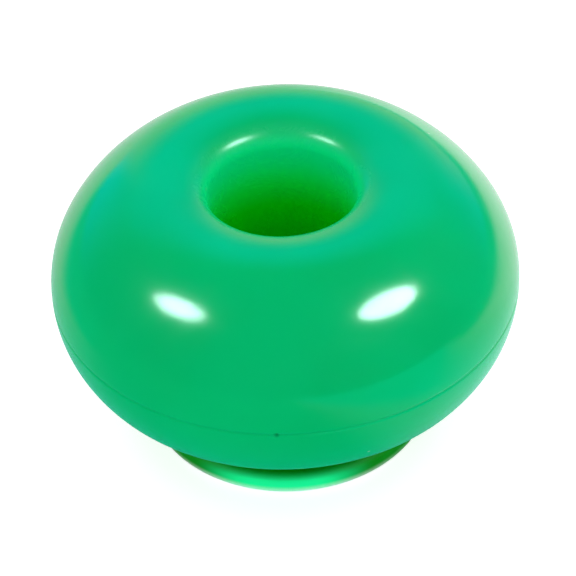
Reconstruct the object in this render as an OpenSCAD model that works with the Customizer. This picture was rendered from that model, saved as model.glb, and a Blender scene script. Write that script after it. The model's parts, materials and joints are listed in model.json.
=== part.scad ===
// String vibration dampener for a racket: a soft round cushion ring on a short neck,
// with a thin lip below it. The two main strings lie in the groove round the neck.
// Units are millimetres, +Z is up, and the origin is the middle of the flat base.

/* [Cushion ring] */
// Outside diameter of the ring, at the mould's parting line
ring_d = 21; // [18:0.5:26]
// Diameter of the circle on which the ring is highest
crest_d = 10.6; // [10:0.2:12]
// Height of the ring above the parting line
above_seam = 5.6; // [4.6:0.1:6.8]
// Depth of the ring below the parting line
below_seam = 3.8; // [3:0.1:4.6]
// Flatness of the shoulder: 1 follows an ellipse, and more is flatter
shoulder_flatness = 1.36; // [1:0.02:1.44]
// Radius of the flank just below the parting line
flank_r = 5; // [4.8:0.1:6.2]
// Radius of the lower corner, between the flank and the flat underside
corner_r = 2.2; // [1:0.1:2.8]
// Radius of the rounded edge where the crown turns into the bore
rim_r = 1; // [0.4:0.1:1.4]
// Depth of the fine line that the mould leaves round the ring
seam_depth = 0.06; // [0.02:0.01:0.15]
// Height of that line at its mouth
seam_h = 0.16; // [0.08:0.02:0.3]

/* [Neck sleeve] */
// Diameter of the bore through all three pieces
bore_d = 6.6; // [5.2:0.2:7.6]
// Diameter of the neck, set by the clear space between the two main strings
neck_d = 10.8; // [10:0.2:12]
// Width of the string groove, between the lip and the ring
groove_w = 2.7; // [2.1:0.1:3.3]
// Depth of the ring's socket, which takes the top of the neck
socket_depth = 2; // [1:0.1:3]
// Bond line between the neck and the wall of that socket
bond_gap = 0.02; // [0.01:0.01:0.1]
// Radius of the roots at the top and the bottom of the groove
root_r = 0.3; // [0.1:0.05:0.4]

/* [Retaining lip] */
// How far the lip stands out past the neck, to keep the strings in the groove
lip_reach = 1.1; // [0.9:0.1:2]
// Thickness of the lip
lip_t = 1.1; // [0.8:0.1:1.6]
// Radius of the lip's outer edges
lip_edge_r = 0.35; // [0.1:0.05:0.4]

/* [Hidden] */
$fn = 96;

silicone = "mediumseagreen";
clear_silicone = "lightgreen";

// Largest gap between a true arc and the chords that draw it
arc_gap = 0.003;

ring_r = ring_d / 2;
bore_r = bore_d / 2;
neck_r = neck_d / 2;
lip_r = neck_r + lip_reach;
crest_r = crest_d / 2;
socket_r = neck_r + bond_gap;

// Heights above the base
under_z = lip_t + groove_w;
socket_z = under_z + socket_depth;
seam_z = under_z + below_seam;
top_z = seam_z + above_seam;

// The curve from the crest down to the parting line is a three-centred arch: a crown arc, a
// flatter shoulder arc and an upper flank arc. They share a normal where they meet, so adding
// up their steps across and down gives two equations for the radii of the crown and the flank.
arch_w = ring_r - crest_r;
arch_h = above_seam;
shoulder_span = 30;
shoulder_mid = atan2(arch_w, arch_h);
shoulder_top = shoulder_mid + shoulder_span / 2;
shoulder_end = shoulder_mid - shoulder_span / 2;
shoulder_r = shoulder_flatness * (arch_w + arch_h) / 2;
across = arch_w - shoulder_r * (cos(shoulder_end) - cos(shoulder_top));
down = arch_h - shoulder_r * (sin(shoulder_top) - sin(shoulder_end));
crown_x = cos(shoulder_top);
crown_y = 1 - sin(shoulder_top);
flank_x = 1 - cos(shoulder_end);
flank_y = sin(shoulder_end);
arch_det = crown_x * flank_y - flank_x * crown_y;
crown_r = (across * flank_y - down * flank_x) / arch_det;
upper_flank_r = (down * crown_x - across * crown_y) / arch_det;

upper_flank_c = [ring_r - upper_flank_r, seam_z];
shoulder_c = upper_flank_c + (upper_flank_r - shoulder_r) * toward(shoulder_end);
crown_c = [crest_r, top_z - crown_r];

// The rim's arc touches the bore's wall and the inside of the crown arc
rim_x = bore_r + rim_r;
rim_c = [rim_x, crown_c.y + sqrt(pow(crown_r - rim_r, 2) - pow(crest_r - rim_x, 2))];
rim_end = atan2(rim_c.y - crown_c.y, rim_c.x - crown_c.x);

// The lower corner's arc touches the inside of the flank arc and the flat underside
flank_c = [ring_r - flank_r, seam_z];
corner_rise = below_seam - corner_r;
corner_reach = sqrt(pow(flank_r - corner_r, 2) - pow(corner_rise, 2));
corner_c = flank_c + [corner_reach, -corner_rise];
corner_end = atan2(-corner_rise, corner_reach);

// Angles at which the flank arcs meet the mouth of the mould's line
seam_below = -asin(seam_h / 2 / flank_r);
seam_above = asin(seam_h / 2 / upper_flank_r);

// Unit vector at an angle, in the plane of an outline
function toward(angle) = [cos(angle), sin(angle)];

// Points of an arc from one angle to another, without its first point
function arc_to(centre, r, from, to) =
    let (turn = 2 * acos(1 - arc_gap / r), steps = ceil(abs(to - from) / turn))
    [for (i = [1:steps]) centre + r * toward(from + (to - from) * i / steps)];

module cushion_ring() {
    color(silicone)
        rotate_extrude()
            polygon(concat(
                [[socket_r, socket_z], [socket_r, under_z], [corner_c.x, under_z]],
                arc_to(corner_c, corner_r, -90, corner_end),
                arc_to(flank_c, flank_r, corner_end, seam_below),
                [[ring_r - seam_depth, seam_z]],
                [upper_flank_c + upper_flank_r * toward(seam_above)],
                arc_to(upper_flank_c, upper_flank_r, seam_above, shoulder_end),
                arc_to(shoulder_c, shoulder_r, shoulder_end, shoulder_top),
                arc_to(crown_c, crown_r, shoulder_top, rim_end),
                arc_to(rim_c, rim_r, rim_end, 180),
                [[bore_r, socket_z]]
            ));
}

module neck_sleeve() {
    root_x = neck_r + root_r;
    color(silicone)
        rotate_extrude()
            polygon(concat(
                [[bore_r, socket_z], [bore_r, lip_t], [root_x, lip_t]],
                arc_to([root_x, lip_t + root_r], root_r, 270, 180),
                [[neck_r, under_z - root_r]],
                arc_to([root_x, under_z - root_r], root_r, 180, 90),
                [[neck_r, under_z], [neck_r, socket_z]]
            ));
}

module retaining_lip() {
    edge_x = lip_r - lip_edge_r;
    color(clear_silicone)
        rotate_extrude()
            polygon(concat(
                [[bore_r, lip_t], [bore_r, 0], [edge_x, 0]],
                arc_to([edge_x, lip_edge_r], lip_edge_r, -90, 0),
                [[lip_r, lip_t - lip_edge_r]],
                arc_to([edge_x, lip_t - lip_edge_r], lip_edge_r, 0, 90)
            ));
}

cushion_ring();
neck_sleeve();
retaining_lip();
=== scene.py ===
# %% [markdown]
# # A string vibration dampener
# The object is a soft silicone button that sits between two strings of a tennis racket: a thick
# round ring with a bore, a short neck that the strings lie against, and a thin lip that keeps
# it from slipping off. It is moulded, so every piece is turned about the axis of the bore. The
# CAD frame fixes the sizes. This script makes the smooth skin, the gloss and the glow.

# %% Load the CAD frame
import json
import math

import bpy
import numpy as np
from mathutils import Matrix, Vector


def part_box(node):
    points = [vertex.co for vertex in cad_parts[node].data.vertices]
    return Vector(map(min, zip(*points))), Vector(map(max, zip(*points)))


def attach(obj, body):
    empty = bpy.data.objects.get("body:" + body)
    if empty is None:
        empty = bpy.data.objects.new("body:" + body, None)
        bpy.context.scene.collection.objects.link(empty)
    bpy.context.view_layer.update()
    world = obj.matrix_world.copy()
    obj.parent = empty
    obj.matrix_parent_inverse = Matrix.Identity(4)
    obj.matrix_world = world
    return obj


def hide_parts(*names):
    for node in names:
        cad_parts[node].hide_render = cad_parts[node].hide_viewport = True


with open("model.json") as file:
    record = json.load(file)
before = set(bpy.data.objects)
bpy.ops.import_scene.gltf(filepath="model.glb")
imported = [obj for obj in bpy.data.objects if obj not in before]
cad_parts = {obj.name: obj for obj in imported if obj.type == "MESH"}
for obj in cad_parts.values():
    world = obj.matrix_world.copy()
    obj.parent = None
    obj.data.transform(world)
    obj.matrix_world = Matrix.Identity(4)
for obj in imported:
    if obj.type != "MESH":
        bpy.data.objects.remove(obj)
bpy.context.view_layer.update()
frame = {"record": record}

# %% [markdown]
# ## Sizes
# What the frame already holds is read from it: the boxes of the three pieces, the bore's radius
# and the place where the strings lie. The radii of the ring's curves are not in any box, so they
# are named here, as in the design. All values are metres.

# %% Read the driving sizes
MM = 0.001
ring_low, ring_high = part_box("cushion_ring")
neck_low, neck_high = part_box("neck_sleeve")
lip_low, lip_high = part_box("retaining_lip")
mounts = {m["name"]: m for m in frame["record"]["mounts"]}

ring_r = ring_high[0]
top_z = ring_high[2]
under_z = ring_low[2]
bore_r = mounts["centre_bore"]["dims"]["r_mm"] * MM
neck_r = mounts["right_string_seat"]["pos_m"][0]
socket_z = neck_high[2]
root_r = neck_high[0] - neck_r
lip_r, lip_t = lip_high[0], lip_high[2]

below_seam = 3.8 * MM
crest_r = 5.3 * MM
flank_r = 5.0 * MM
corner_r = 2.2 * MM
rim_r = 1.0 * MM
shoulder_flatness = 1.36
shoulder_span = math.radians(30)
bond_gap = 0.02 * MM
lip_edge_r = 0.35 * MM
seam_z = under_z + below_seam
print("parting line at", round(seam_z / MM, 2), "mm, ring radius", round(ring_r / MM, 3), "mm")

# %% [markdown]
# ## Camera
# A long lens from 41 degrees above the table shows the crown, a little of the bore's wall, and
# the groove and the lip as a thin crescent under the ring. The camera is placed on a sphere round
# the middle of the parting line. It is turned about its own axis by two degrees, as if held by
# hand.

# %% Place the camera
camera_elevation = math.radians(41.1)
camera_distance = 12 * ring_r
camera_roll = math.radians(-2.1)
lens_mm = 175.3
aim_right, aim_up = 0.13 * MM, -0.70 * MM

seam_centre = Vector((0, 0, seam_z))
back = Vector((0, -math.cos(camera_elevation), math.sin(camera_elevation)))
turn = back.to_track_quat("Z", "Y").to_matrix() @ Matrix.Rotation(camera_roll, 3, "Z")
aim = seam_centre + turn @ Vector((aim_right, aim_up, 0))

camera = bpy.data.objects.new("camera", bpy.data.cameras.new("camera"))
camera.data.lens = lens_mm
camera.data.sensor_width = 36
camera.data.clip_start, camera.data.clip_end = 0.01, 10
camera.matrix_world = Matrix.Translation(aim + back * camera_distance) @ turn.to_4x4()
bpy.context.scene.collection.objects.link(camera)
bpy.context.scene.camera = camera
print("camera", round(camera_distance, 3), "m from the parting line")

# %% [markdown]
# ## Turned surfaces
# A turned piece is a profile carried round an axis, so each point is a function of two
# parameters: the place along the profile and the angle. Every profile here is made of arcs and
# straight lines. Both helpers work on whole arrays, with no loop over points.

# %% Arcs, lines and the turning itself
def arc(centre, radius, start, end, step=0.04 * MM):
    """Points of a circle: centre + radius * (cos t, sin t), with t from start to end."""
    count = max(3, int(abs(end - start) * radius / step) + 1)
    t = np.linspace(start, end, count)
    return np.column_stack((centre[0] + radius * np.cos(t), centre[1] + radius * np.sin(t)))


def line(start, end, step=0.25 * MM):
    """Points of a straight line: start + s * (end - start), with s from 0 to 1."""
    start, end = np.array(start, float), np.array(end, float)
    count = max(2, int(np.linalg.norm(end - start) / step) + 1)
    s = np.linspace(0, 1, count)[:, None]
    return start + s * (end - start)


def closed_profile(*stretches):
    """Stretches joined end to end into one closed outline, each repeated point kept once."""
    points = np.concatenate(stretches)
    step = np.linalg.norm(points - np.roll(points, 1, axis=0), axis=1)
    return points[step > 1e-7]


def turned(name, profile, angles, shape=None):
    """A closed ring surface: x = r cos a, y = r sin a, z = z, for each profile point (r, z)
    and each angle a. shape(r, z, a) may first move the grid of radii and heights a little."""
    r, a = np.meshgrid(profile[:, 0], angles, indexing="ij")
    z = np.repeat(profile[:, 1][:, None], len(angles), axis=1)
    if shape:
        r, z = shape(r, z, a)
    points = np.stack((r * np.cos(a), r * np.sin(a), z), axis=-1).reshape(-1, 3)
    rows, columns = r.shape
    i, j = np.meshgrid(np.arange(rows), np.arange(columns), indexing="ij")
    i2, j2 = (i + 1) % rows, (j + 1) % columns
    quads = np.stack((i * columns + j, i * columns + j2, i2 * columns + j2, i2 * columns + j), -1)
    return mesh_object(name, points, quads.reshape(-1, 4))


def mesh_object(name, points, quads):
    """An object at the origin whose mesh holds the points and quads, smooth but for its corners."""
    mesh = bpy.data.meshes.new(name)
    mesh.vertices.add(len(points))
    mesh.vertices.foreach_set("co", points.astype(np.float32).ravel())
    mesh.loops.add(quads.size)
    mesh.loops.foreach_set("vertex_index", quads.astype(np.int32).ravel())
    mesh.polygons.add(len(quads))
    mesh.polygons.foreach_set("loop_start", np.arange(0, quads.size, 4, dtype=np.int32))
    mesh.polygons.foreach_set("use_smooth", np.ones(len(quads), dtype=bool))
    mesh.update(calc_edges=True)
    mesh.validate()
    mesh.set_sharp_from_angle(angle=math.radians(40))
    made = bpy.data.objects.new(name, mesh)
    bpy.context.scene.collection.objects.link(made)
    print(name, "has", len(points), "points and", 2 * len(quads), "triangles")
    return made

# %% [markdown]
# ## The ring's profile
# Seen in section, the ring is a rounded block. From the parting line up to the crest it follows
# three arcs that share a normal where they meet: a flank, a flatter shoulder and a tight crown.
# Adding up their steps across and down gives two equations, and numpy solves them for the radii
# of the flank and the crown. A superellipse would look much the same, but arcs are what a mould
# maker turns, and they keep the highlights even.

# %% Solve the three-centred arch
def direction(angle):
    """Unit vector (cos t, sin t) in the plane of the profile."""
    return np.array((math.cos(angle), math.sin(angle)))


arch_w, arch_h = ring_r - crest_r, top_z - seam_z
shoulder_mid = math.atan2(arch_w, arch_h)
shoulder_top = shoulder_mid + shoulder_span / 2
shoulder_end = shoulder_mid - shoulder_span / 2
shoulder_r = shoulder_flatness * (arch_w + arch_h) / 2
top_dir, end_dir = direction(shoulder_top), direction(shoulder_end)
steps = np.array(((top_dir[0], 1 - end_dir[0]), (1 - top_dir[1], end_dir[1])))
left = np.array((arch_w, arch_h)) - shoulder_r * np.abs(end_dir - top_dir)
crown_r, upper_flank_r = np.linalg.solve(steps, left)

upper_flank_c = np.array((ring_r - upper_flank_r, seam_z))
shoulder_c = upper_flank_c + (upper_flank_r - shoulder_r) * end_dir
crown_c = np.array((crest_r, top_z - crown_r))
print("crown, shoulder and flank radii in mm:",
      [round(v / MM, 2) for v in (crown_r, shoulder_r, upper_flank_r)])

# %% [markdown]
# The parting line is where the two halves of the mould met. It is a fine sunk line, so the
# profile dips there in a smooth V that is rounded at the bottom. The points are packed closely
# round it, and a small dimple in the line marks the gate where the silicone was let in.

# %% Make the cushion ring
seam_depth = 0.035 * MM
seam_w = 0.07 * MM
gate_angle = math.radians(-93.3)
gate_r = 0.08 * MM
gate_depth = 0.07 * MM


def angles_round_gate(count=288, extra=14, width=0.02):
    """Angles of a full turn, closer together at the gate: the spacing follows
    1 / (1 + extra * exp(-(d / width)^2)), where d is the angle from the gate."""
    fine = np.linspace(-math.pi, math.pi, 20001)
    density = 1 + extra * np.exp(-((fine / width) ** 2))
    turned_share = np.concatenate(([0], np.cumsum((density[1:] + density[:-1]) / 2)))
    targets = np.linspace(0, turned_share[-1], count, endpoint=False)
    return gate_angle + np.interp(targets, turned_share, fine)


def seam_and_gate(r, z, a):
    """Moves points inward by depth * exp(-(dz / width)^2) along the parting line, and by a round
    dimple of the same kind at the gate. Both act only near the outer wall."""
    dz = z - seam_z
    outer = r > ring_r - 0.5 * MM
    along = (a - gate_angle + math.pi) % (2 * math.pi) - math.pi
    away = (dz**2 + (along * ring_r) ** 2) / gate_r**2
    dip = seam_depth * np.exp(-((dz / seam_w) ** 2)) + gate_depth * np.exp(-away)
    return r - np.where(outer, dip, 0), z


corner_rise = below_seam - corner_r
corner_reach = math.sqrt((flank_r - corner_r) ** 2 - corner_rise**2)
flank_c = np.array((ring_r - flank_r, seam_z))
corner_c = flank_c + np.array((corner_reach, -corner_rise))
corner_end = math.atan2(-corner_rise, corner_reach)

rim_x = bore_r + rim_r
rim_y = crown_c[1] + math.sqrt((crown_r - rim_r) ** 2 - (crest_r - rim_x) ** 2)
rim_end = math.atan2(rim_y - crown_c[1], rim_x - crown_c[0])
near = math.radians(4)
socket_r = neck_r + bond_gap

ring_profile = closed_profile(
    line((socket_r, socket_z), (socket_r, under_z)),
    line((socket_r, under_z), (corner_c[0], under_z)),
    arc(corner_c, corner_r, -math.pi / 2, corner_end, 0.12 * MM),
    arc(flank_c, flank_r, corner_end, -near, 0.15 * MM),
    arc(flank_c, flank_r, -near, 0, 0.015 * MM),
    arc(upper_flank_c, upper_flank_r, 0, near, 0.015 * MM),
    arc(upper_flank_c, upper_flank_r, near, shoulder_end, 0.15 * MM),
    arc(shoulder_c, shoulder_r, shoulder_end, shoulder_top, 0.15 * MM),
    arc(crown_c, crown_r, shoulder_top, rim_end, 0.12 * MM),
    arc((rim_x, rim_y), rim_r, rim_end, math.pi, 0.04 * MM),
    line((bore_r, rim_y), (bore_r, socket_z)),
    line((bore_r, socket_z), (socket_r, socket_z)),
)
ring = turned("cushion_ring_skin", ring_profile, angles_round_gate(), seam_and_gate)

# %% [markdown]
# ## The neck and the lip
# The neck is a short sleeve. Its top sits in a socket in the ring, and its root at each end of
# the string groove is rounded, because a sharp inner corner would tear. The lip is a thin washer
# with rounded edges that the neck stands on.

# %% Make the neck sleeve and the retaining lip
around = np.linspace(0, 2 * math.pi, 192, endpoint=False)
root_x = neck_r + root_r
neck_profile = closed_profile(
    line((bore_r, socket_z), (bore_r, lip_t)),
    line((bore_r, lip_t), (root_x, lip_t)),
    arc((root_x, lip_t + root_r), root_r, 1.5 * math.pi, math.pi),
    line((neck_r, lip_t + root_r), (neck_r, under_z - root_r)),
    arc((root_x, under_z - root_r), root_r, math.pi, 0.5 * math.pi),
    line((root_x, under_z), (neck_r, under_z)),
    line((neck_r, under_z), (neck_r, socket_z)),
    line((neck_r, socket_z), (bore_r, socket_z)),
)
neck = turned("neck_sleeve_skin", neck_profile, around)

edge_x = lip_r - lip_edge_r
lip_profile = closed_profile(
    line((bore_r, lip_t), (bore_r, 0)),
    line((bore_r, 0), (edge_x, 0)),
    arc((edge_x, lip_edge_r), lip_edge_r, -math.pi / 2, 0),
    line((lip_r, lip_edge_r), (lip_r, lip_t - lip_edge_r)),
    arc((edge_x, lip_t - lip_edge_r), lip_edge_r, 0, math.pi / 2),
    line((edge_x, lip_t), (bore_r, lip_t)),
)
lip = turned("retaining_lip_skin", lip_profile, around)

# %% [markdown]
# ## Masks for the silicone
# The silicone is one green, but light and shade are painted into its colour. Down the bore the colour
# is painted shade that has lost its blue, as light that has gone through more silicone. Low on the lip
# the colour is painted light, as the light of the table coming through the thin edge, and in the
# string groove the colour is painted shade. Each of these follows the distance from the axis and the
# height, so one node group makes them all. A painted texture would need an unwrapped surface and would
# hold no more.

# %% Node groups: helpers and the zone mask
def new_group(name, inputs, outputs):
    """An empty node group with named sockets, as (tree, input node, output node)."""
    tree = bpy.data.node_groups.new(name, "ShaderNodeTree")
    for label, kind, value in inputs:
        socket = tree.interface.new_socket(label, in_out="INPUT", socket_type="NodeSocket" + kind)
        socket.default_value = value
    for label in outputs:
        tree.interface.new_socket(label, in_out="OUTPUT", socket_type="NodeSocketFloat")
    return tree, tree.nodes.new("NodeGroupInput"), tree.nodes.new("NodeGroupOutput")


def put(tree, kind, settings=None, **sockets):
    """Adds a node, sets its properties, and links or sets its inputs by name. An input called
    a, b or c is the first, second or third of a Math node."""
    node = tree.nodes.new("ShaderNode" + kind)
    for key, value in (settings or {}).items():
        setattr(node, key, value)
    for key, value in sockets.items():
        socket = node.inputs["abc".index(key)] if key in "abc" else node.inputs[key.replace("_", " ")]
        if isinstance(value, bpy.types.NodeSocket):
            tree.links.new(value, socket)
        else:
            socket.default_value = value
    return node


def smooth(tree, value, start, end):
    """0 up to start, 1 from end on, and the smooth cubic 3 t^2 - 2 t^3 between them."""
    node = put(tree, "MapRange", {"interpolation_type": "SMOOTHSTEP"}, Value=value)
    for key, limit in (("From Min", start), ("From Max", end)):
        if isinstance(limit, bpy.types.NodeSocket):
            tree.links.new(limit, node.inputs[key])
        else:
            node.inputs[key].default_value = limit
    return node.outputs["Result"]


def times(tree, first, second):
    """Product of two values."""
    return put(tree, "Math", {"operation": "MULTIPLY"}, a=first, b=second).outputs[0]


def turn_radius(tree, apart):
    """Distance from the axis, the square root of x^2 + y^2, from the parts of a position."""
    flat = put(tree, "CombineXYZ", X=apart.outputs["X"], Y=apart.outputs["Y"])
    length = put(tree, "VectorMath", {"operation": "LENGTH"})
    tree.links.new(flat.outputs[0], length.inputs[0])
    return length.outputs["Value"]


zone, given, result = new_group(
    "turned_zone",
    (("Position", "Vector", (0, 0, 0)), ("Radius start", "Float", 0.0), ("Radius end", "Float", 0.0),
     ("Height start", "Float", 0.0), ("Height end", "Float", 0.0)),
    ("Mask",))
apart = put(zone, "SeparateXYZ", Vector=given.outputs["Position"])
across = smooth(zone, turn_radius(zone, apart), given.outputs["Radius start"],
                given.outputs["Radius end"])
along = smooth(zone, apart.outputs["Z"], given.outputs["Height start"],
               given.outputs["Height end"])
zone.links.new(times(zone, across, along), result.inputs["Mask"])

# %% [markdown]
# A round mark is a ball with a soft edge, and what lies in it is marked: the gate, and the front of
# the lip, where painted light stands for the light that comes through. The parting line needs a thin
# band at one height, on the outer wall only, because the bore passes the same height.

# %% Node groups: a round mark and a thin band
mark, given, result = new_group(
    "round_mark",
    (("Position", "Vector", (0, 0, 0)), ("Centre", "Vector", (0, 0, 0)), ("Size", "Float", 0.0001)),
    ("Mask",))
away = put(mark, "VectorMath", {"operation": "DISTANCE"})
mark.links.new(given.outputs["Position"], away.inputs[0])
mark.links.new(given.outputs["Centre"], away.inputs[1])
share = put(mark, "Math", {"operation": "DIVIDE"}, a=away.outputs["Value"], b=given.outputs["Size"])
mark.links.new(smooth(mark, share.outputs[0], 1.0, 0.3), result.inputs["Mask"])

band, given, result = new_group(
    "thin_band",
    (("Position", "Vector", (0, 0, 0)), ("Height", "Float", 0.0), ("Width", "Float", 0.0001),
     ("Least radius", "Float", 0.0)),
    ("Mask",))
apart = put(band, "SeparateXYZ", Vector=given.outputs["Position"])
off = put(band, "Math", {"operation": "SUBTRACT"}, a=apart.outputs["Z"], b=given.outputs["Height"])
size = put(band, "Math", {"operation": "ABSOLUTE"}, a=off.outputs[0])
share = put(band, "Math", {"operation": "DIVIDE"}, a=size.outputs[0], b=given.outputs["Width"])
beyond = put(band, "Math", {"operation": "GREATER_THAN"}, a=turn_radius(band, apart),
             b=given.outputs["Least radius"])
near_line = smooth(band, share.outputs[0], 1.0, 0.2)
band.links.new(times(band, near_line, beyond.outputs[0]), result.inputs["Mask"])

# %% [markdown]
# ## Moulded skin
# A polished mould leaves a skin that is nearly a mirror. What breaks it up is very small: a
# faint orange peel, finger grease that changes the gloss from place to place, slow clouds in the
# colour where the pigment isn't even, and a few specks of dust, which silicone always picks up.

# %% Node group: the skin's height, gloss, clouds and dust
skin, given, result = new_group(
    "moulded_skin",
    (("Position", "Vector", (0, 0, 0)), ("Grain per metre", "Float", 9000.0),
     ("Clouds per metre", "Float", 220.0), ("Dust per metre", "Float", 900.0)),
    ("Height", "Gloss", "Clouds", "Dust"))
grain = put(skin, "TexNoise", Vector=given.outputs["Position"],
            Scale=given.outputs["Grain per metre"], Detail=3.0, Roughness=0.6)
skin.links.new(grain.outputs[0], result.inputs["Height"])
cloud = put(skin, "TexNoise", Vector=given.outputs["Position"],
            Scale=given.outputs["Clouds per metre"], Detail=2.0, Roughness=0.5)
skin.links.new(smooth(skin, cloud.outputs[0], 0.3, 0.7), result.inputs["Clouds"])
smear = put(skin, "TexNoise", Vector=given.outputs["Position"],
            Scale=given.outputs["Clouds per metre"], Detail=6.0, Roughness=0.7, Distortion=1.5)
skin.links.new(smooth(skin, smear.outputs[0], 0.35, 0.75), result.inputs["Gloss"])
cell = put(skin, "TexVoronoi", Vector=given.outputs["Position"],
           Scale=given.outputs["Dust per metre"])
chance = put(skin, "SeparateColor", Color=cell.outputs["Color"])
few = smooth(skin, chance.outputs[0], 0.93, 1.0)
grain_of_dust = smooth(skin, cell.outputs["Distance"], 0.09, 0.03)
skin.links.new(times(skin, few, grain_of_dust), result.inputs["Dust"])
print("node groups:", [group.name for group in bpy.data.node_groups])

# %% [markdown]
# ## Silicone
# The skin is glossy, and light goes a few millimetres into the silicone before it comes out
# again. Subsurface scattering does that: green travels furthest. The reflection is tinted green
# where it looks straight at the surface, and stays white along the edges, so the rims look pale.
# Where light comes through from outside, in the upper part of the bore and at the front of the
# lip, a faint green emission stands for it. Real transmission would need far more samples for
# the same glow.

# %% The silicone, as a function
dust_colour, dust_share = (0.55, 0.8, 0.65), 0.35
pin_roughness = 0.14
peel_height = 0.0015 * MM


def material(name):
    """A new node material, as (material, its node tree, its Principled shader)."""
    made = bpy.data.materials.new(name)
    made.use_nodes = True
    return made, made.node_tree, made.node_tree.nodes["Principled BSDF"]


def use(tree, group, position, **sockets):
    """Places a node group in a material, with the position and its sizes set."""
    node = tree.nodes.new("ShaderNodeGroup")
    node.node_tree = group
    tree.links.new(position, node.inputs["Position"])
    for key, value in sockets.items():
        node.inputs[key.replace("_", " ")].default_value = value
    return node


def in_zone(tree, position, r_start, r_end, z_start, z_end):
    """Mask that grows from 0 to 1 between the two radii, and between the two heights."""
    return use(tree, zone, position, Radius_start=r_start, Radius_end=r_end,
               Height_start=z_start, Height_end=z_end).outputs["Mask"]


def blend(tree, below, colour, mask):
    """below + mask * (colour - below)."""
    node = put(tree, "Mix", {"data_type": "RGBA"})
    for socket, value in ((node.inputs[0], mask), (node.inputs[6], below), (node.inputs[7], colour)):
        if isinstance(value, bpy.types.NodeSocket):
            tree.links.new(value, socket)
        else:
            socket.default_value = value if isinstance(value, float) else (*value, 1)
    return node.outputs[2]


def silicone(name, colour, cloud_colour, zones, marks, dull=None, glow=None, rough=(0.12, 0.17)):
    """Glossy translucent silicone. marks are (colour, share, group, sockets, limits), and zones
    are (colour, *limits), each laid over the last. limits are the radii and the heights between
    which a zone grows. dull is the limits of the part that the mould's pin left less polished,
    and glow is the colour, limits and spot of the light that comes through."""
    made, tree, shader = material(name)
    position = tree.nodes.new("ShaderNodeTexCoord").outputs["Object"]
    surface = use(tree, skin, position)
    look = blend(tree, colour, cloud_colour, surface.outputs["Clouds"])
    for tint, share, group, sockets, limits in marks:
        spot = use(tree, group, position, **sockets).outputs["Mask"]
        mask = times(tree, spot, in_zone(tree, position, *limits))
        look = blend(tree, look, tint, times(tree, mask, share))
    for tint, *limits in zones:
        look = blend(tree, look, tint, in_zone(tree, position, *limits))
    look = blend(tree, look, dust_colour, times(tree, surface.outputs["Dust"], dust_share))
    tree.links.new(look, shader.inputs["Base Color"])
    gloss = put(tree, "MapRange", Value=surface.outputs["Gloss"], To_Min=rough[0], To_Max=rough[1])
    roughness = gloss.outputs[0]
    if dull:
        matt = put(tree, "Math", {"operation": "MULTIPLY_ADD"}, a=in_zone(tree, position, *dull),
                   b=pin_roughness, c=roughness)
        roughness = matt.outputs[0]
    tree.links.new(roughness, shader.inputs["Roughness"])
    if glow:
        tint, limits, spot = glow
        mask = in_zone(tree, position, *limits)
        if spot:
            mask = times(tree, mask, use(tree, mark, position, **spot).outputs["Mask"])
        tree.links.new(blend(tree, (0, 0, 0), tint, mask), shader.inputs["Emission Color"])
        shader.inputs["Emission Strength"].default_value = 1.0
    bump = put(tree, "Bump", Strength=0.25, Distance=peel_height, Height=surface.outputs["Height"])
    tree.links.new(bump.outputs[0], shader.inputs["Normal"])
    shader.inputs["IOR"].default_value = 1.41
    shader.inputs["Specular Tint"].default_value = (0.6, 0.95, 0.85, 1)
    shader.inputs["Subsurface Weight"].default_value = 0.6
    shader.inputs["Subsurface Radius"].default_value = (0.3, 1.0, 0.5)
    shader.inputs["Subsurface Scale"].default_value = 1.5 * MM
    return made


# %% [markdown]
# ## Finish of the ring and the neck
# The outer wall is one blue-green. Down the bore the colour changes in three steps, from the mouth to
# the dark, yellow-green bottom. The mouth is painted lighter for light that comes through the thin
# rim, and the lower steps are painted shade that has lost its blue. The neck's outer wall in the
# string groove is painted a dark green shade. The parting line is a shade darker than the wall, and
# the gate is a small dark dot in it. A pin shaped the bore, and pins are polished less than the
# mould's halves, so the bore and its mouth are a little duller.

# %% Make the silicone of the ring and the neck
def on_ring(angle, height, radius):
    """(r cos a, r sin a, z): a point from its angle in degrees, its height and its radius."""
    a = math.radians(angle)
    return (radius * math.cos(a), radius * math.sin(a), height)


all_heights = (-2 * MM, -1 * MM)
outer_wall = (ring_r - 1.5 * MM, ring_r - 1.0 * MM, *all_heights)
bore_wall = (bore_r + 0.5 * MM, bore_r + 0.1 * MM, *all_heights)
bore_dull = (bore_r + 1.1 * MM, bore_r + 0.5 * MM, *all_heights)
# painted shade: the blue-less green of light that has gone deep into the silicone, used down the bores
painted_shade_green = (0.0, 0.66, 0.0)
# painted light and shade down the bore: lighter at the mouth, then yellow-green painted shade deeper
# down
bore_painted_light_and_shade = (
    ((0.0, 0.68, 0.24), bore_r + 0.85 * MM, bore_r + 0.3 * MM, top_z, top_z - 1.0 * MM),
    ((0.0, 0.75, 0.0), bore_r + 1.0 * MM, bore_r + 0.3 * MM, top_z - 1.1 * MM, top_z - 3.3 * MM),
    (painted_shade_green, bore_r + 0.5 * MM, bore_r + 0.1 * MM, top_z - 4 * MM, top_z - 7 * MM),
)
bore_glow = ((0.0, 0.10, 0.035), (bore_r + 0.35 * MM, bore_r + 0.02 * MM,
                                 top_z - 4.5 * MM, top_z - 1.8 * MM), None)
seam_line = {"Height": seam_z, "Width": 0.10 * MM, "Least_radius": ring_r - 1 * MM}
gate_dot = {"Centre": on_ring(math.degrees(gate_angle), seam_z, ring_r), "Size": 0.17 * MM}
seam_marks = (
    ((0.0, 0.30, 0.08), 0.10, band, seam_line, outer_wall),
    ((0.0, 0.10, 0.03), 0.4, mark, gate_dot, outer_wall),
)
body_silicone = silicone("green_silicone", (0.0, 0.510, 0.156), (0.0, 0.482, 0.138),
                         bore_painted_light_and_shade, seam_marks, dull=bore_dull, glow=bore_glow)
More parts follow.
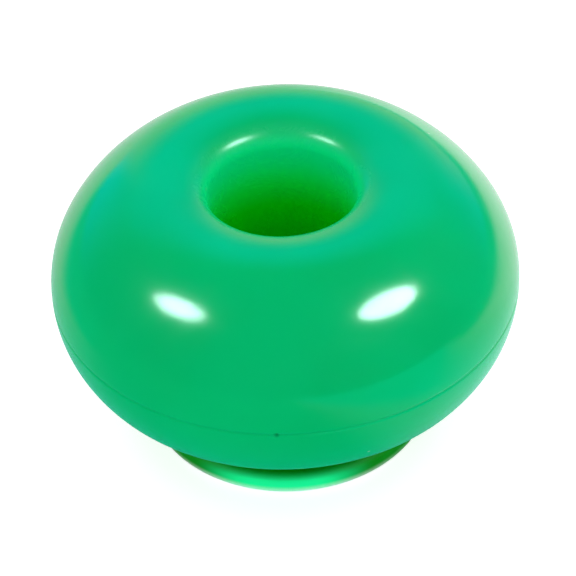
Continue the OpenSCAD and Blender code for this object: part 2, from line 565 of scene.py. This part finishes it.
neck_silicone = silicone(
    "green_silicone_neck", (0.0, 0.475, 0.160), (0.0, 0.450, 0.140),
    [(painted_shade_green, *bore_wall),
     # painted shade: the neck's outer wall in the string groove is dark green
     ((0.0, 0.30, 0.035), neck_r - 0.3 * MM, neck_r - 0.1 * MM, *all_heights)], ())

# %% [markdown]
# ## Finish of the lip
# The lip's upper face lies in the shade of the ring, and that shade is painted into its colour as a
# dark green, down its bore too. Its front edge stands in the light and is thin, so it is painted
# bright, and along the table it is painted nearly white, as light that comes through. Two round marks
# of different size, centred on the front edge, hold this painted light. The lip isn't polished, so it
# reflects less than the ring.

# %% Make the lip's silicone and dress the pieces
front_edge = on_ring(-94, 0.3 * MM, lip_r)
# spots of painted light on the lip's front edge
painted_light_spot = {"Centre": front_edge, "Size": 4.4 * MM}
painted_pale_spot = {"Centre": front_edge, "Size": 8 * MM}
lip_silicone = silicone(
    # painted shade: the lip's base and cloud colours are dark green for the shade under the ring
    "thin_green_silicone", (0.0, 0.31, 0.005), (0.0, 0.27, 0.003),
    # painted shade down the lip's bore
    [((0.0, 0.50, 0.0), *bore_wall)],
    # painted light: bright green on the upper front edge
    [((0.01, 0.87, 0.31), 1.0, mark, painted_light_spot,
      (lip_r - 0.45 * MM, lip_r - 0.1 * MM, lip_t + 0.1 * MM, lip_t - 0.3 * MM)),
     # painted light: near white low on the front edge, for the table's light coming through
     ((0.85, 1.0, 0.92), 1.0, mark, painted_pale_spot,
      (lip_r - 0.9 * MM, lip_r - 0.6 * MM, 0.55 * MM, 0.05 * MM))],
    glow=((0.0, 0.28, 0.10), (lip_r - 0.4 * MM, lip_r - 0.05 * MM,
                              lip_t - 0.05 * MM, lip_t - 0.45 * MM), painted_light_spot), rough=(0.55, 0.65))
lip_shader = lip_silicone.node_tree.nodes["Principled BSDF"]
lip_shader.inputs["Specular IOR Level"].default_value = 0.15

for piece, node, finish, slot in (
    (ring, "cushion_ring", body_silicone, "silicone"),
    (neck, "neck_sleeve", neck_silicone, "silicone"),
    (lip, "retaining_lip", lip_silicone, "thin_silicone"),
):
    piece.data.materials.append(finish)
    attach(piece, "root")
    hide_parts(node)
    print(piece.name, "wears", finish.name)

# %% [markdown]
# ## Table
# A small glossy object is lit by what it reflects. The table is white to the eye. In the gloss it
# is white beside and behind the object, which makes the pale rims, and blue-green in front and
# far out, so that the body's own green stays pure. The Light Path node tells a ray from the
# camera from one that has met the gloss.

# %% Make the table
floor_mesh = bpy.data.meshes.new("floor")
half = 2.0
floor_mesh.from_pydata([(-half, -half, 0), (half, -half, 0), (half, half, 0), (-half, half, 0)],
                       [], [(0, 1, 2, 3)])
floor = bpy.data.objects.new("floor", floor_mesh)
bpy.context.scene.collection.objects.link(floor)
floor_paint, tree, shader = material("white_table")
place = put(tree, "SeparateXYZ", Vector=tree.nodes.new("ShaderNodeTexCoord").outputs["Object"])
ray = tree.nodes.new("ShaderNodeLightPath")
in_gloss = ray.outputs["Is Glossy Ray"]

rightward = put(tree, "Math", {"operation": "MAXIMUM"}, a=place.outputs["X"], b=0.0)
ahead = put(tree, "Math", {"operation": "MULTIPLY_ADD"}, a=rightward.outputs[0], b=0.3,
            c=place.outputs["Y"])
in_front = smooth(tree, ahead.outputs[0], 0.02, -0.01)
aslant = put(tree, "Math", {"operation": "MULTIPLY_ADD"}, a=place.outputs["Y"], b=0.5,
             c=place.outputs["X"])
far_left = smooth(tree, aslant.outputs[0], -0.015, -0.036)
far_right = smooth(tree, place.outputs["X"], 0.04, 0.09)
far = put(tree, "Math", {"operation": "MAXIMUM"}, a=far_left, b=far_right).outputs[0]
dim = put(tree, "Math", {"operation": "MAXIMUM"}, a=in_front, b=far).outputs[0]
shade = times(tree, dim, in_gloss)
tree.links.new(blend(tree, (0.9, 0.9, 0.9), (0.02, 0.85, 0.78), shade), shader.inputs["Base Color"])

# %% [markdown]
# The object's right side is the lighter one. So the gloss also finds a little light of the
# table's own there: white beside the object, and blue-green in front on the right. The camera
# sees the table with 0.6 of extra white, which makes it the same white as the surroundings.

# %% Lift the table's light
to_right = times(tree, smooth(tree, place.outputs["X"], 0.0, 0.03),
                 smooth(tree, ahead.outputs[0], 0.004, 0.02))
to_right = times(tree, to_right, smooth(tree, place.outputs["X"], 0.09, 0.04))
extra = times(tree, times(tree, to_right, in_gloss), 0.7)
beside = times(tree, times(tree, in_front, smooth(tree, place.outputs["X"], 0.004, 0.02)), in_gloss)
extra = put(tree, "Math", {"operation": "MULTIPLY_ADD"}, a=beside, b=1.6, c=extra).outputs[0]
lift = put(tree, "Math", {"operation": "MULTIPLY_ADD"}, a=ray.outputs["Is Camera Ray"], b=0.6, c=extra)
tree.links.new(lift.outputs[0], shader.inputs["Emission Strength"])
tree.links.new(blend(tree, (1, 1, 1), (0.0, 1.0, 0.95), beside), shader.inputs["Emission Color"])
shader.inputs["Roughness"].default_value = 0.8
shader.inputs["Specular IOR Level"].default_value = 0.0
floor_mesh.materials.append(floor_paint)
print("table", 2 * half, "m wide, in the plane of the lip's underside")

# %% [markdown]
# ## Soft boxes
# Two elliptical soft boxes, one on each side in front, make the two oval highlights on the crown
# and the two thin ones on the far side of the bore's mouth. They are kept out of the diffuse
# light, which comes from the whole room, so the highlights can be set by themselves.

# %% Place the soft boxes
def soft_box(name, azimuth, elevation, width, height, radiance, twist=0, distance=0.5):
    """An elliptical lamp that faces the object from a sphere round it, turned by twist degrees.
    It shows in the gloss and adds nothing to the soft light."""
    az, el = math.radians(azimuth), math.radians(elevation)
    away = Vector((math.sin(az) * math.cos(el), -math.cos(az) * math.cos(el), math.sin(el)))
    data = bpy.data.lights.new(name, "AREA")
    data.shape = "ELLIPSE"
    data.size, data.size_y = width, height
    data.energy = math.pi * width * height * radiance
    lamp = bpy.data.objects.new(name, data)
    spin = away.to_track_quat("Z", "Y").to_matrix().to_4x4()
    spin = spin @ Matrix.Rotation(math.radians(twist), 4, "Z")
    lamp.matrix_world = Matrix.Translation(seam_centre + away * distance) @ spin
    lamp.visible_diffuse = False
    bpy.context.scene.collection.objects.link(lamp)
    print(name, "at", [round(v, 2) for v in lamp.location])


soft_box("left_soft_box", -69, 43, 0.20, 0.095, 39, twist=25)
soft_box("right_soft_box", 65.5, 43.5, 0.24, 0.125, 41, twist=-23)

# %% [markdown]
# ## Room
# For the soft light the room is an even white, a few per cent brighter on the right and behind.
# In the gloss it is dark above, blue-green high up behind, and there is a white wall low down
# behind, which draws the pale rim along the top of the ring.

# %% Make the room
world = bpy.data.worlds.new("studio")
bpy.context.scene.world = world
world.use_nodes = True
tree = world.node_tree
background = tree.nodes["Background"]
toward = put(tree, "SeparateXYZ", Vector=tree.nodes.new("ShaderNodeTexCoord").outputs["Generated"])
sideways = put(tree, "MapRange", Value=toward.outputs["X"], From_Min=-1.0, From_Max=1.0,
               To_Min=0.915, To_Max=1.105).outputs[0]
soft = put(tree, "Math", {"operation": "MULTIPLY_ADD"}, a=toward.outputs["Y"], b=0.08, c=sideways)

behind = smooth(tree, toward.outputs["Y"], 0.3, 0.8)
above = blend(tree, (0.0, 0.35, 0.65), (0.0, 1.1, 2.2), behind)
high_up = times(tree, behind, smooth(tree, toward.outputs["Z"], 0.45, 0.68))
above = blend(tree, above, (0.0, 1.7, 3.3), high_up)

leaning = put(tree, "Math", {"operation": "MULTIPLY_ADD"}, a=toward.outputs["X"], b=0.25,
              c=toward.outputs["Z"])
low = smooth(tree, leaning.outputs[0], 0.60, 0.12)
aslant = put(tree, "Math", {"operation": "MULTIPLY_ADD"}, a=toward.outputs["Y"], b=0.5,
             c=toward.outputs["X"])
back_wall = times(tree, smooth(tree, toward.outputs["Y"], 0.68, 0.98),
                  smooth(tree, aslant.outputs[0], -0.1, 0.1))
gloss = blend(tree, above, (0.9, 0.9, 0.9), times(tree, back_wall, low))

in_gloss = tree.nodes.new("ShaderNodeLightPath").outputs["Is Glossy Ray"]
tree.links.new(blend(tree, (1, 1, 1), gloss, in_gloss), background.inputs["Color"])
level = put(tree, "Mix", {"data_type": "FLOAT"})
for socket, value in ((level.inputs[0], in_gloss), (level.inputs[2], soft.outputs[0])):
    tree.links.new(value, socket)
level.inputs[3].default_value = 1.0
tree.links.new(level.outputs[0], background.inputs["Strength"])
print("room made, with", len(tree.nodes), "nodes")
bpy.context.scene.view_settings.view_transform = "Standard"
